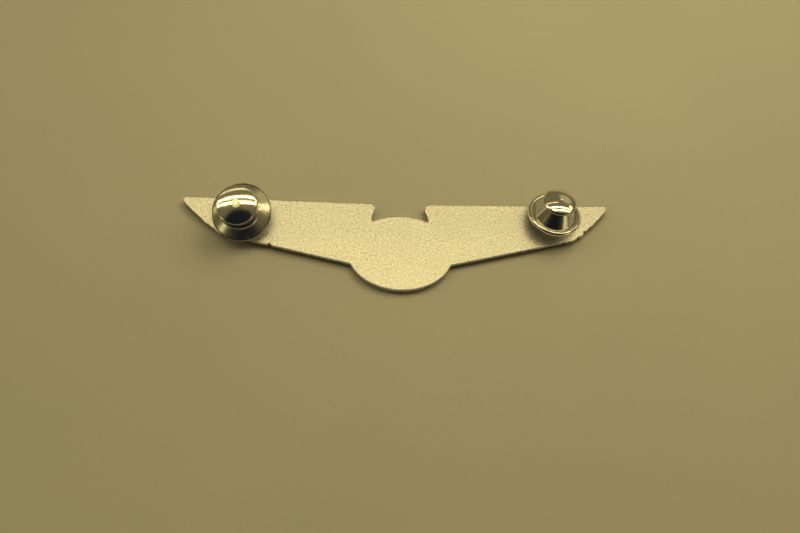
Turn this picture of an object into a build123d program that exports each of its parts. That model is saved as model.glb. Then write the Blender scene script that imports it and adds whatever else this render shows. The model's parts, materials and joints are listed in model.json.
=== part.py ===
"""Pilot wings pin: a cast wings badge with two bent posts and a locking ball clutch on each post.

Millimetres. +X runs along the span, +Y from the emblem towards the straight top edge, +Z out of the flat
back towards the posts. The origin is on the back face at the centre of the oval emblem.
"""

from build123d import *
from math import cos, radians, sqrt, tan
import os

# Badge plate
SPAN = 76.2                     # tip to tip, three inches
WING_THICKNESS = 0.9
ROOT_THICKNESS = 1.2            # wing shoulder, beside the emblem
EMBLEM_THICKNESS = 1.5          # the badge lies on this face
EMBLEM_HALF_WIDTH = 9.25
EMBLEM_HALF_HEIGHT = 7.05
EMBLEM_RIM = 0.9                # width of the flat border round the emblem
EMBLEM_RECESS = 0.25
TIP_TOP = (37.6, 10.0)          # end of the straight top edge
TIP_BULGE = 0.026               # how far the arc through the blunt tip passes its middle point
TIP_SIDE = (SPAN / 2 - TIP_BULGE, 9.65)
TIP_LOWER = (37.88, 9.05)       # where the blunt tip meets the slanted end
TOP_CORNER = (5.35, 9.47)       # where the straight top edge meets the root curve
ROOT_CURVE = [(4.72, 9.24), (4.43, 8.66), (4.56, 7.9), (5.0, 6.75), (4.9, 5.8)]
ROOT_DEPTH = 2.0                # how far the root curve is carried on down inside the emblem
LOWER_ROOT = (6.0, -2.93)       # lower edge, carried on inside the emblem
LOWER_END = (30.9, 2.8)         # where the lower edge turns up towards the tip
SLANT_BOW = 0.3                 # how far the slanted end bows outwards
FEATHER_TIPS = 6                # scallops along the slanted end of a wing
FEATHER_BULGE = 0.12
SHOULDER = [(9.5, -0.6), (26.0, 4.2), (35.0, 9.0), (6.2, 8.7), (6.6, 5.0)]

# Posts
POST_X = 27.4
POST_Y = 6.5
POST_RADIUS = 0.53
POST_LENGTH = 6.0
POST_POINT = 0.9                # length of the pointed end
POST_GROOVE = (4.45, 4.75)      # retaining groove, start and end
POST_GROOVE_DEPTH = 0.1
POST_BURIED = 1.0               # length drawn below the back face before the foot is trimmed flush
SOLDER_RADIUS = 1.35
SOLDER_TOP_RADIUS = 0.85
SOLDER_HEIGHT = 0.3

# Clutches: heights are measured along the post from the plane of the clutch's widest circle
RIM_STAND_OFF = 2.2             # from the back face to that plane
SHEET = 0.25
RUNNING = 0.03                  # gap at each side of a ball
BALL_RADIUS = 0.40
BALL_COUNT = 3
RACE_HALF_ANGLE = 12.0
KNOB_TRAVEL = 0.7
RACE_RISE = 0.45                # race above the highest place of the balls
RACE_DROP = 0.55                # race below the balls at rest
RACE_RIM = 0.2                  # height of the ring that fixes the race to its shell
CAGE_BORE = POST_RADIUS + 0.09
CAGE_RADIUS = 1.15
CAGE_DROP = 0.5                 # cage below the balls
CAGE_FLANGE_RADIUS = 1.85
CAGE_FLANGE_THICKNESS = 0.2
CAGE_BORE_TAPER = 0.2           # height of the cone that closes the cage's bore
STEM_RADIUS = 1.0
STEM_HOLE = STEM_RADIUS + 0.08
GUIDE_HOLE = POST_RADIUS + 0.07
HUB_RADIUS = 2.2
HUB_BORE = HUB_RADIUS - SHEET
SPRING_RADIUS = 1.5
SPRING_WIRE = 0.07              # radius of the wire
SPRING_TURNS = 2.5
SPRING_GAP = 0.01               # at each end of the spring
PEEN_TAPER = 0.8                # top radius of a riveted head, as a share of its radius

BALL_CENTRE = POST_RADIUS + RUNNING + BALL_RADIUS
RACE_AT_BALL = BALL_CENTRE + (BALL_RADIUS + RUNNING) / cos(radians(RACE_HALF_ANGLE))
RACE_SLOPE = tan(radians(RACE_HALF_ANGLE))

os.makedirs("parts", exist_ok=True)


def keep(part, node):
    """Label a finished piece and write it as parts/NODE.step."""
    part.label = node
    export_step(part, f"parts/{node}.step")


class Clutch:
    """Where one clutch sits and how high its inner pieces stand above its rim plane."""

    def __init__(self, side, x, lean_x, lean_y, ball_height, cage_top, bore_top):
        self.side = side
        self.foot = Vector(x, POST_Y, 0)
        self.axis_dir = Vector(tan(radians(lean_x)), tan(radians(lean_y)), 1).normalized()
        self.rim = self.foot + self.axis_dir * RIM_STAND_OFF
        across = Vector(0, 1, 0).cross(self.axis_dir).normalized()
        self.axis = Axis(self.rim, self.axis_dir)
        self.post_plane = Plane(self.foot, x_dir=across, z_dir=across.cross(self.axis_dir))
        self.plane = Plane(self.rim, x_dir=across, z_dir=across.cross(self.axis_dir))
        self.flat = Plane(self.rim, x_dir=across, z_dir=self.axis_dir)
        self.ball_height = ball_height
        self.race_top = ball_height + KNOB_TRAVEL + RACE_RISE
        self.cage_flange = self.race_top + SHEET
        self.spring_foot = self.cage_flange + CAGE_FLANGE_THICKNESS
        self.ceiling = self.spring_foot + KNOB_TRAVEL + 2 * SPRING_WIRE * (SPRING_TURNS + 0.5)
        self.hub_top = self.ceiling + SHEET
        self.cage_top = cage_top
        self.bore_top = bore_top


LEFT = Clutch("left", -POST_X, -4.7, -10.2, ball_height=0.75, cage_top=4.8, bore_top=4.2)
RIGHT = Clutch("right", POST_X, 2.6, 13.1, ball_height=0.5, cage_top=4.04, bore_top=3.96)

# Left clutch: low cone with a thin rolled edge, and a drum-shaped knob with a shallow domed top
LEFT_RIM = 5.18
LEFT_BEAD = 0.16
LEFT_BEAD_DROP = 0.04
LEFT_LIP = 4.05
LEFT_CONE_FOOT = (4.90, 0.16)
LEFT_CONE_TOP = (3.40, 1.20)
LEFT_COLLAR = 3.30
LEFT_COLLAR_TOP = 1.75
LEFT_DISC_RADIUS = 4.35
LEFT_DISC_BOTTOM = -0.05
LEFT_KNOB_RADIUS = 3.45
LEFT_KNOB_FOOT = 1.92
LEFT_KNOB_LIP = (3.58, 0.24)    # radius and height of the lip round the drum's foot
LEFT_KNOB_WAIST = 2.95          # radius of the drum between the lip and its top edge
LEFT_WAIST_TAPER = 0.30         # height over which the drum narrows above the lip
LEFT_KNOB_BEND = (3.90, 4.30, 4.45)     # heights where the waist ends, the edge is full, and it turns over
LEFT_DOME_EDGE = 3.24           # radius where the dome begins
LEFT_BEND_SAGITTA = 0.05        # roundness of the drum's edge
LEFT_DOME_SPHERE = 10.0         # radius of the sphere that the dome is part of
LEFT_KNOB_TOP = 5.2
LEFT_SPINDLE = 0.3
LEFT_PEEN = (0.5, 0.10)         # radius and height of the riveted head

# Right clutch: steep cone with a heavy rolled edge, and a low mushroom knob
RIGHT_RIM = 4.81
RIGHT_BEAD = 0.45
RIGHT_LIP = 3.5
RIGHT_CONE_FOOT = (3.92, 0.10)
RIGHT_CONE_TOP = (2.40, 2.60)
RIGHT_DISC_RADIUS = 3.80
RIGHT_DISC_BOTTOM = -0.30
RIGHT_KNOB_BORE = 2.42
RIGHT_KNOB_FOOT = 2.85
RIGHT_KNOB_LIP = 2.96
RIGHT_LIP_MIDDLE = 3.485
RIGHT_LIP_SHAPE = (0.06, 0.12, 0.10)    # width of the lip, and its height below and above its middle
RIGHT_DOME_EDGE = 2.75
RIGHT_DOME_EDGE_INSIDE = 2.41
RIGHT_DOME_SPHERE = 6.0
RIGHT_KNOB_TOP = 4.40
RIGHT_SPINDLE = 0.12
RIGHT_PEEN = (0.16, 0.06)

DISC_THICKNESS = 0.2
DISC_GAP = 0.06                 # between the disc and the pocket it lies in
POCKET_STEP = 0.12
COLLAR_STEP = 0.1               # height of the small step where the cone meets the collar
SPINDLE_HOLE_LENGTH = 1.0
HUB_STEP = 0.05                 # height of the shoulder from which the right hub rises


def dome_point(radius, sphere, top):
    """Point at a radius on a dome that is part of a sphere, with its highest point at the top."""
    return (radius, top - sphere + sqrt(sphere ** 2 - radius ** 2))


def cone_radius(foot, top, height):
    """Radius of the straight cone through two (radius, height) points."""
    return foot[0] + (top[0] - foot[0]) * (height - foot[1]) / (top[1] - foot[1])


def cone_height(foot, top, radius):
    """Height of the straight cone through two (radius, height) points."""
    return foot[1] + (top[1] - foot[1]) * (radius - foot[0]) / (top[0] - foot[0])


def under_cone(foot, top):
    """The same two points moved square to the cone by one sheet thickness, on its inner side."""
    run = top[0] - foot[0]
    rise = top[1] - foot[1]
    shift = SHEET / sqrt(run ** 2 + rise ** 2)
    return [(r - rise * shift, h + run * shift) for r, h in (foot, top)]


def slant_point(share):
    """Point on the bowed slanted end of the wing, share 0 at its lower end and 1 at the tip."""
    across, up = TIP_LOWER[0] - LOWER_END[0], TIP_LOWER[1] - LOWER_END[1]
    bow = 4 * SLANT_BOW * share * (1 - share) / sqrt(across ** 2 + up ** 2)
    return (LOWER_END[0] + across * share + up * bow, LOWER_END[1] + up * share - across * bow)


# Badge plate
with BuildPart() as badge_plate:
    with BuildSketch() as wings:
        with BuildLine():
            Line(LOWER_ROOT, LOWER_END)
            for feather in range(FEATHER_TIPS):
                start = slant_point(feather / FEATHER_TIPS)
                end = slant_point((feather + 1) / FEATHER_TIPS)
                SagittaArc(start, end, -FEATHER_BULGE)
            ThreePointArc(TIP_LOWER, TIP_SIDE, TIP_TOP)
            Line(TIP_TOP, TOP_CORNER)
            Spline(TOP_CORNER, *ROOT_CURVE)
            Polyline(ROOT_CURVE[-1], (LOWER_ROOT[0], ROOT_CURVE[-1][1] - ROOT_DEPTH), LOWER_ROOT)
        make_face()
        mirror(about=Plane.YZ)
        Ellipse(EMBLEM_HALF_WIDTH, EMBLEM_HALF_HEIGHT)
    extrude(amount=-WING_THICKNESS)
    with BuildSketch(Plane.XY.offset(-WING_THICKNESS)):
        Polygon(*SHOULDER, align=None)
        mirror(about=Plane.YZ)
    extrude(amount=WING_THICKNESS - ROOT_THICKNESS)
    with BuildSketch(Plane.XY.offset(-WING_THICKNESS)):
        Ellipse(EMBLEM_HALF_WIDTH, EMBLEM_HALF_HEIGHT)
    extrude(amount=WING_THICKNESS - EMBLEM_THICKNESS)
    with BuildSketch(Plane.XY.offset(-EMBLEM_THICKNESS)):
        Ellipse(EMBLEM_HALF_WIDTH - EMBLEM_RIM, EMBLEM_HALF_HEIGHT - EMBLEM_RIM)
        Ellipse(EMBLEM_HALF_WIDTH - 2 * EMBLEM_RIM, EMBLEM_HALF_HEIGHT - 2 * EMBLEM_RIM, mode=Mode.SUBTRACT)
    extrude(amount=EMBLEM_RECESS, mode=Mode.SUBTRACT)
keep(badge_plate.part, "badge_plate")


def make_post(clutch):
    """Round pin, trimmed flush with the back face, with a retaining groove and a pointed end."""
    groove_radius = POST_RADIUS - POST_GROOVE_DEPTH
    shank_end = POST_LENGTH - POST_POINT
    with BuildPart() as post:
        with BuildSketch(clutch.post_plane):
            with BuildLine():
                Polyline((0, -POST_BURIED), (POST_RADIUS, -POST_BURIED), (POST_RADIUS, POST_GROOVE[0]))
                Polyline((POST_RADIUS, POST_GROOVE[0]), (groove_radius, POST_GROOVE[0] + POST_GROOVE_DEPTH),
                         (groove_radius, POST_GROOVE[1] - POST_GROOVE_DEPTH), (POST_RADIUS, POST_GROOVE[1]))
                Polyline((POST_RADIUS, POST_GROOVE[1]), (POST_RADIUS, shank_end),
                         (POST_RADIUS / 4, POST_LENGTH), (0, POST_LENGTH), (0, -POST_BURIED))
            make_face()
        revolve(axis=clutch.axis)
        split(bisect_by=Plane.XY, keep=Keep.TOP)
    return post.part


def make_solder(clutch, post):
    """Low cone of solder round the foot of a post."""
    with BuildPart() as solder:
        with BuildSketch(Plane(clutch.foot)):
            Circle(SOLDER_RADIUS)
        with BuildSketch(Plane(clutch.foot).offset(SOLDER_HEIGHT)):
            Circle(SOLDER_TOP_RADIUS)
        loft()
        add(post, mode=Mode.SUBTRACT)
    return solder.part


def make_guide_disc(clutch, radius, bottom):
    """Flat bottom plate of a clutch, with the hole that the post goes through."""
    with BuildPart() as disc:
        with BuildSketch(clutch.flat.offset(bottom)):
            Circle(radius)
            Circle(GUIDE_HOLE, mode=Mode.SUBTRACT)
        extrude(amount=DISC_THICKNESS)
    return disc.part


def make_left_shell(clutch):
    """Spun sheet shell: rolled lip, groove, low cone, collar and a hub that hides in the knob."""
    inner_foot, inner_top = under_cone(LEFT_CONE_FOOT, LEFT_CONE_TOP)
    bead_centre = LEFT_RIM - LEFT_BEAD
    lip_bottom = -LEFT_BEAD_DROP - LEFT_BEAD
    lip_top = lip_bottom + SHEET / 2
    collar_bore = LEFT_COLLAR - SHEET
    with BuildPart() as shell:
        with BuildSketch(clutch.plane):
            with BuildLine():
                Line((LEFT_LIP, lip_bottom), (bead_centre, lip_bottom))
                ThreePointArc((bead_centre, lip_bottom), (LEFT_RIM, -LEFT_BEAD_DROP),
                              (bead_centre, LEFT_BEAD - LEFT_BEAD_DROP))
                Polyline((bead_centre, LEFT_BEAD - LEFT_BEAD_DROP), LEFT_CONE_FOOT, LEFT_CONE_TOP,
                         (LEFT_COLLAR, LEFT_CONE_TOP[1] + COLLAR_STEP), (LEFT_COLLAR, LEFT_COLLAR_TOP),
                         (HUB_RADIUS, LEFT_COLLAR_TOP), (HUB_RADIUS, clutch.hub_top),
                         (STEM_HOLE, clutch.hub_top), (STEM_HOLE, clutch.ceiling),
                         (HUB_BORE, clutch.ceiling), (HUB_BORE, LEFT_COLLAR_TOP - SHEET),
                         (collar_bore, LEFT_COLLAR_TOP - SHEET),
                         (collar_bore, cone_height(inner_foot, inner_top, collar_bore)),
                         inner_foot, (inner_foot[0], lip_top), (LEFT_LIP, lip_top), (LEFT_LIP, lip_bottom))
            make_face()
        revolve(axis=clutch.axis)
    return shell.part


def make_right_shell(clutch):
    """Drawn sheet shell: heavy rolled bead, steep cone and a hub that hides in the knob."""
    inner_foot, inner_top = under_cone(RIGHT_CONE_FOOT, RIGHT_CONE_TOP)
    bead_centre = RIGHT_RIM - RIGHT_BEAD
    lip_top = SHEET / 2 - RIGHT_BEAD
    pocket = RIGHT_DISC_RADIUS + DISC_GAP
    with BuildPart() as shell:
        with BuildSketch(clutch.plane):
            with BuildLine():
                Polyline((RIGHT_LIP, -RIGHT_BEAD), (bead_centre, -RIGHT_BEAD))
                ThreePointArc((bead_centre, -RIGHT_BEAD), (RIGHT_RIM, 0), (bead_centre, RIGHT_BEAD))
                Polyline((bead_centre, RIGHT_BEAD), RIGHT_CONE_FOOT, RIGHT_CONE_TOP,
                         (HUB_RADIUS, RIGHT_CONE_TOP[1] + HUB_STEP), (HUB_RADIUS, clutch.hub_top),
                         (STEM_HOLE, clutch.hub_top), (STEM_HOLE, clutch.ceiling),
                         (HUB_BORE, clutch.ceiling), (HUB_BORE, inner_top[1]), inner_top, inner_foot,
                         (pocket, inner_foot[1] - POCKET_STEP), (pocket, lip_top),
                         (RIGHT_LIP, lip_top), (RIGHT_LIP, -RIGHT_BEAD))
            make_face()
            with Locations((bead_centre, 0)):
                Circle(RIGHT_BEAD)
        revolve(axis=clutch.axis)
    return shell.part


def make_race(clutch, seat_low, seat_high):
    """Tapered cup that wedges the balls against the post, with a rim that fits its shell at two radii."""
    bottom = clutch.ball_height - RACE_DROP
    narrow = RACE_AT_BALL + (bottom - clutch.ball_height) * RACE_SLOPE
    wide = RACE_AT_BALL + (clutch.race_top - clutch.ball_height) * RACE_SLOPE
    rim_top = clutch.race_top + RACE_RIM
    with BuildPart() as race:
        with BuildSketch(clutch.plane):
            with BuildLine():
                Polyline((narrow, bottom), (narrow + SHEET, bottom), (wide + SHEET, clutch.race_top),
                         (seat_low, clutch.race_top), (seat_high, rim_top),
                         (wide, rim_top), (wide, clutch.race_top), close=True)
            make_face()
        revolve(axis=clutch.axis)
    return race.part


def make_cage(clutch, spindle, peen, spindle_top):
    """Tube that carries the balls in radial holes and is riveted through the knob."""
    flange = clutch.cage_flange
    foot = clutch.ball_height - CAGE_DROP
    peen_radius, peen_height = peen
    peen_top = spindle_top + peen_height
    with BuildPart() as cage:
        with BuildSketch(clutch.plane):
            with BuildLine():
                Polyline((CAGE_BORE, foot), (CAGE_RADIUS, foot), (CAGE_RADIUS, flange),
                         (CAGE_FLANGE_RADIUS, flange), (CAGE_FLANGE_RADIUS, clutch.spring_foot),
                         (STEM_RADIUS, clutch.spring_foot), (STEM_RADIUS, clutch.cage_top),
                         (spindle, clutch.cage_top), (spindle, spindle_top), (peen_radius, spindle_top),
                         (peen_radius * PEEN_TAPER, peen_top), (0, peen_top),
                         (0, clutch.bore_top), (CAGE_BORE, clutch.bore_top - CAGE_BORE_TAPER), close=True)
            make_face()
        revolve(axis=clutch.axis)
        for turn in ball_turns():
            hole_plane = ball_plane(clutch, turn)
            with BuildSketch(hole_plane):
                Circle(BALL_RADIUS + RUNNING)
            extrude(amount=2 * CAGE_RADIUS, mode=Mode.SUBTRACT)
    return cage.part


def ball_turns():
    """Angles of the balls round the post, in degrees."""
    return [90 + 360 * number / BALL_COUNT for number in range(BALL_COUNT)]


def ball_plane(clutch, turn):
    """Plane on the clutch's axis at the height of the balls, facing outwards through one of them."""
    level = clutch.flat.offset(clutch.ball_height).rotated((0, 0, turn))
    return Plane(level.origin, x_dir=level.y_dir, z_dir=level.x_dir)


def make_ball(clutch, turn):
    """One steel ball, resting close to the post and to the race."""
    outward = ball_plane(clutch, turn)
    centre = outward.offset(BALL_CENTRE)
    with BuildPart() as ball:
        with BuildSketch(centre):
            with BuildLine():
                CenterArc((0, 0), BALL_RADIUS, -90, 180)
                Line((0, BALL_RADIUS), (0, -BALL_RADIUS))
            make_face()
        revolve(axis=Axis(centre.origin, centre.y_dir))
    return ball.part


def make_spring(clutch):
    """Compression spring between the cage's flange and the ceiling of the shell's hub."""
    bottom = clutch.spring_foot + SPRING_WIRE + SPRING_GAP
    height = clutch.ceiling - bottom - SPRING_WIRE - SPRING_GAP
    base = clutch.flat.offset(bottom)
    with BuildPart() as spring:
        with BuildLine() as path:
            Helix(height / SPRING_TURNS, height, SPRING_RADIUS, center=base.origin, direction=base.z_dir)
        with BuildSketch(Plane(path.line @ 0, z_dir=path.line % 0)):
            Circle(SPRING_WIRE)
        sweep(is_frenet=True)
    return spring.part


def make_left_cap(clutch):
    """Drum-shaped cap with a lip at its foot, a narrower waist, a rounded edge and a shallow domed top."""
    inside = LEFT_KNOB_WAIST - SHEET
    inside_top = LEFT_KNOB_TOP - SHEET
    inside_sphere = LEFT_DOME_SPHERE - SHEET
    lip_radius, lip_height = LEFT_KNOB_LIP
    lip_top = LEFT_KNOB_FOOT + lip_height
    waist_end, edge_start, edge_end = LEFT_KNOB_BEND
    dome_edge = dome_point(LEFT_DOME_EDGE, LEFT_DOME_SPHERE, LEFT_KNOB_TOP)
    inside_edge = dome_point(inside, inside_sphere, inside_top)
    with BuildPart() as cap:
        with BuildSketch(clutch.plane):
            with BuildLine():
                Polyline(inside_edge, (inside, LEFT_KNOB_FOOT), (lip_radius, LEFT_KNOB_FOOT),
                         (lip_radius, lip_top), (LEFT_KNOB_WAIST, lip_top + LEFT_WAIST_TAPER),
                         (LEFT_KNOB_WAIST, waist_end),
                         (LEFT_KNOB_RADIUS, edge_start), (LEFT_KNOB_RADIUS, edge_end))
                SagittaArc((LEFT_KNOB_RADIUS, edge_end), dome_edge, -LEFT_BEND_SAGITTA)
                ThreePointArc(dome_edge, dome_point(LEFT_DOME_EDGE / 2, LEFT_DOME_SPHERE, LEFT_KNOB_TOP),
                              (0, LEFT_KNOB_TOP))
                Line((0, LEFT_KNOB_TOP), (0, inside_top))
                ThreePointArc((0, inside_top), dome_point(LEFT_DOME_EDGE / 2, inside_sphere, inside_top),
                              inside_edge)
            make_face()
        revolve(axis=clutch.axis)
        with BuildSketch(clutch.flat.offset(clutch.cage_top)):
            Circle(LEFT_SPINDLE)
        extrude(amount=SPINDLE_HOLE_LENGTH, mode=Mode.SUBTRACT)
    return cap.part


def make_right_cap(clutch):
    """Low mushroom: flared skirt, rounded lip and shallow dome, its inside the same sphere moved down."""
    inside_top = RIGHT_KNOB_TOP - SHEET
    lip_width, lip_below, lip_above = RIGHT_LIP_SHAPE
    lip_start = (RIGHT_KNOB_LIP - lip_width, RIGHT_LIP_MIDDLE - lip_below)
    lip_end = (RIGHT_KNOB_LIP - lip_width, RIGHT_LIP_MIDDLE + lip_above)
    dome_edge = dome_point(RIGHT_DOME_EDGE, RIGHT_DOME_SPHERE, RIGHT_KNOB_TOP)
    inside_edge = dome_point(RIGHT_DOME_EDGE_INSIDE, RIGHT_DOME_SPHERE, inside_top)
    inside_middle = dome_point(RIGHT_DOME_EDGE_INSIDE / 2, RIGHT_DOME_SPHERE, inside_top)
    with BuildPart() as cap:
        with BuildSketch(clutch.plane):
            with BuildLine():
                Polyline(inside_edge, (RIGHT_KNOB_BORE, RIGHT_KNOB_FOOT),
                         (RIGHT_KNOB_BORE + SHEET, RIGHT_KNOB_FOOT), lip_start)
                ThreePointArc(lip_start, (RIGHT_KNOB_LIP, RIGHT_LIP_MIDDLE), lip_end)
                Line(lip_end, dome_edge)
                ThreePointArc(dome_edge, dome_point(RIGHT_DOME_EDGE / 2, RIGHT_DOME_SPHERE, RIGHT_KNOB_TOP),
                              (0, RIGHT_KNOB_TOP))
                Line((0, RIGHT_KNOB_TOP), (0, inside_top))
                ThreePointArc((0, inside_top), inside_middle, inside_edge)
            make_face()
        revolve(axis=clutch.axis)
        with BuildSketch(clutch.flat.offset(clutch.cage_top)):
            Circle(RIGHT_SPINDLE)
        extrude(amount=SPINDLE_HOLE_LENGTH, mode=Mode.SUBTRACT)
    return cap.part


def right_seat(height):
    """Inner radius of the right shell's cone at a height."""
    inner_foot, inner_top = under_cone(RIGHT_CONE_FOOT, RIGHT_CONE_TOP)
    return cone_radius(inner_foot, inner_top, height)


def keep_common(clutch):
    """Write the pieces that both clutches share: post, solder, balls and spring."""
    post = make_post(clutch)
    keep(post, f"{clutch.side}_post")
    keep(make_solder(clutch, post), f"{clutch.side}_post_solder")
    for number, turn in enumerate(ball_turns(), start=1):
        keep(make_ball(clutch, turn), f"{clutch.side}_ball_{number}")
    keep(make_spring(clutch), f"{clutch.side}_spring")


keep_common(LEFT)
keep(make_guide_disc(LEFT, LEFT_DISC_RADIUS, LEFT_DISC_BOTTOM), "left_guide_disc")
keep(make_left_shell(LEFT), "left_shell")
keep(make_race(LEFT, HUB_BORE, HUB_BORE), "left_race")
keep(make_cage(LEFT, LEFT_SPINDLE, LEFT_PEEN, LEFT_KNOB_TOP), "left_ball_cage")
keep(make_left_cap(LEFT), "left_cap")

keep_common(RIGHT)
keep(make_guide_disc(RIGHT, RIGHT_DISC_RADIUS, RIGHT_DISC_BOTTOM), "right_guide_disc")
keep(make_right_shell(RIGHT), "right_shell")
keep(make_race(RIGHT, right_seat(RIGHT.race_top), right_seat(RIGHT.race_top + RACE_RIM)), "right_race")
keep(make_cage(RIGHT, RIGHT_SPINDLE, RIGHT_PEEN, RIGHT_KNOB_TOP), "right_ball_cage")
keep(make_right_cap(RIGHT), "right_cap")
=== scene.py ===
"""Looks of the pilot wings pin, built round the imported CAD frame.

Shape helpers work in millimetres and every mesh is written in metres. The badge lies on its front: the flat
back is at z = 0 and faces up, and the relief below it is 1.5 mm deep at the emblem.
"""

import json
from math import atan2, cos, pi, radians, sin, sqrt, tan

import bpy
import numpy as np
from mathutils import Matrix, Vector
from mathutils.geometry import delaunay_2d_cdt


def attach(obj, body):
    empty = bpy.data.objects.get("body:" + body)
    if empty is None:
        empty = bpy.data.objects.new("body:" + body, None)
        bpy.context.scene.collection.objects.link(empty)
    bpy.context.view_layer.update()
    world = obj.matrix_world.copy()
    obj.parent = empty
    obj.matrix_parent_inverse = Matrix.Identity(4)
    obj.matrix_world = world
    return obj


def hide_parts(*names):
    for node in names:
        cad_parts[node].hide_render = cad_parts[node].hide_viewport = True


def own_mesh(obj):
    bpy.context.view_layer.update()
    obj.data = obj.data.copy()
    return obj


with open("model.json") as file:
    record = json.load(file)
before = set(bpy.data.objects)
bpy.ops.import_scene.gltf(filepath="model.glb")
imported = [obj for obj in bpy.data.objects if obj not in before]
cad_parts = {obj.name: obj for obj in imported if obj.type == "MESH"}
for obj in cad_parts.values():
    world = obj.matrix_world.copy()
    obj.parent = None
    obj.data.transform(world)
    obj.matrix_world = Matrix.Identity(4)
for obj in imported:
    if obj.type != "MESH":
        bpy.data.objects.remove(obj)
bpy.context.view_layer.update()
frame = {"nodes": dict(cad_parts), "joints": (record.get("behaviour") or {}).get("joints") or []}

MM = 0.001

# Plate, millimetres: the driving sizes of the CAD plate
EMBLEM_WIDTH = 9.25             # half width of the oval
EMBLEM_HEIGHT = 7.05            # half height of the oval
EMBLEM_DEPTH = 1.5
WING_DEPTH = 0.9
TIP_TOP = (37.6, 10.0)
TIP_SIDE = (38.074, 9.65)
TIP_LOWER = (37.88, 9.05)
TOP_CORNER = (5.35, 9.47)
ROOT_CURVE = [(4.72, 9.24), (4.43, 8.66), (4.56, 7.9), (5.0, 6.75), (4.9, 5.8)]
LOWER_ROOT = (6.0, -2.93)
LOWER_END = (30.9, 2.8)
SLANT_BOW = 0.3
OUTLINE_STEP = 0.11             # spacing of the points along the edge
CORNER_SOFTNESS = 0.10          # how far cast corners are rounded in plan
BACK_ROUND = 0.16               # rounding of the back edge
FRONT_ROUND = 0.14
# Bulge of each feather tip on the slanted end, from its lower end up
TIP_BULGES = {
    "left": (0.14, 0.05, 0.12, 0.04, 0.08, 0.10),
    "right": (0.16, 0.34, 0.12, 0.16, 0.12, 0.08),
}
# Small nicks in the cast edge: place on the edge, how deep and how wide
NICKS = [
    ((-22.8, 1.0), 0.42, 0.24),
    ((26.3, 1.74), 0.12, 0.14),
    ((27.8, 2.09), 0.16, 0.12),
    ((29.35, 2.44), 0.22, 0.16),
    ((33.8, 9.94), 0.20, 0.16),
    ((33.35, 4.75), 0.20, 0.25),
    ((-3.2, 6.7), 0.05, 0.12),
    ((2.4, 6.85), 0.05, 0.10),
]


# ---------------------------------------------------------------- plate outline

def slant_point(share):
    """Point on the bowed slanted end of the wing, 0 at its lower end and 1 at the tip."""
    run, rise = TIP_LOWER[0] - LOWER_END[0], TIP_LOWER[1] - LOWER_END[1]
    bow = 4 * SLANT_BOW * share * (1 - share) / sqrt(run ** 2 + rise ** 2)
    return np.array((LOWER_END[0] + run * share + rise * bow, LOWER_END[1] + rise * share - run * bow))


def straight(start, end, count):
    """Points from start towards end, end left out."""
    share = np.linspace(0, 1, count, endpoint=False)[:, None]
    return np.array(start) * (1 - share) + np.array(end) * share


def through(points, count):
    """Smooth curve through the points (Catmull-Rom), count steps between each two."""
    given = [np.array(p, float) for p in points]
    padded = [2 * given[0] - given[1], *given, 2 * given[-1] - given[-2]]
    curve = []
    for before, start, end, after in zip(padded, padded[1:], padded[2:], padded[3:]):
        square = 2 * before - 5 * start + 4 * end - after
        cube = 3 * start - before - 3 * end + after
        for t in np.linspace(0, 1, count, endpoint=False):
            curve.append(0.5 * (2 * start + (end - before) * t + square * t ** 2 + cube * t ** 3))
    return np.array(curve)


def wing_edge(bulges):
    """Edge of the right wing from inside the oval at the bottom, round the tip, to inside it at the top."""
    run = [straight(LOWER_ROOT, LOWER_END, 200)]
    for number, bulge in enumerate(bulges):
        start = slant_point(number / len(bulges))
        end = slant_point((number + 1) / len(bulges))
        chord = end - start
        outward = np.array((chord[1], -chord[0])) / np.hypot(*chord)
        share = np.linspace(0, 1, 16, endpoint=False)[:, None]
        run.append(start + chord * share + outward * bulge * 4 * share * (1 - share))
    run.append(through([TIP_LOWER, TIP_SIDE, TIP_TOP], 10))
    run.append(straight(TIP_TOP, TOP_CORNER, 260))
    run.append(through([TOP_CORNER, *ROOT_CURVE], 16))
    return np.vstack(run)


def oval_share(points):
    """0 at the centre of the oval emblem and 1 on its edge."""
    return np.hypot(points[:, 0] / EMBLEM_WIDTH, points[:, 1] / EMBLEM_HEIGHT)


def outline():
    """Closed edge of the whole plate, counter-clockwise seen from the back, evenly spaced."""
    sides = {}
    for side in ("right", "left"):
        edge = wing_edge(TIP_BULGES[side])
        sides[side] = edge[oval_share(edge) > 1]
    right, left = sides["right"], sides["left"][::-1] * (-1, 1)

    def oval_arc(start, end, count):
        first = atan2(start[1] / EMBLEM_HEIGHT, start[0] / EMBLEM_WIDTH)
        last = atan2(end[1] / EMBLEM_HEIGHT, end[0] / EMBLEM_WIDTH)
        turn = np.linspace(0, (last - first) % (2 * pi), count)[1:-1] + first
        return np.stack((EMBLEM_WIDTH * np.cos(turn), EMBLEM_HEIGHT * np.sin(turn)), 1)

    loop = np.vstack((right, oval_arc(right[-1], left[0], 90), left, oval_arc(left[-1], right[0], 180)))
    loop = evenly(loop, OUTLINE_STEP)
    loop = soften(loop, CORNER_SOFTNESS / OUTLINE_STEP)
    for place, depth, width in NICKS:
        loop = dent_edge(loop, np.array(place), depth, width)
    return loop


def evenly(loop, step):
    """The same closed line with points a step apart."""
    closed = np.vstack((loop, loop[:1]))
    reach = np.concatenate(([0], np.cumsum(np.hypot(*np.diff(closed, axis=0).T))))
    at = np.linspace(0, reach[-1], int(reach[-1] / step), endpoint=False)
    return np.stack([np.interp(at, reach, closed[:, axis]) for axis in (0, 1)], 1)


def soften(loop, spread):
    """Closed line smoothed along itself, spread in points."""
    reach = int(4 * spread) + 1
    offsets = np.arange(-reach, reach + 1)
    weights = np.exp(-0.5 * (offsets / spread) ** 2)
    weights /= weights.sum()
    return sum(w * np.roll(loop, -o, axis=0) for o, w in zip(offsets, weights))


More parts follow.
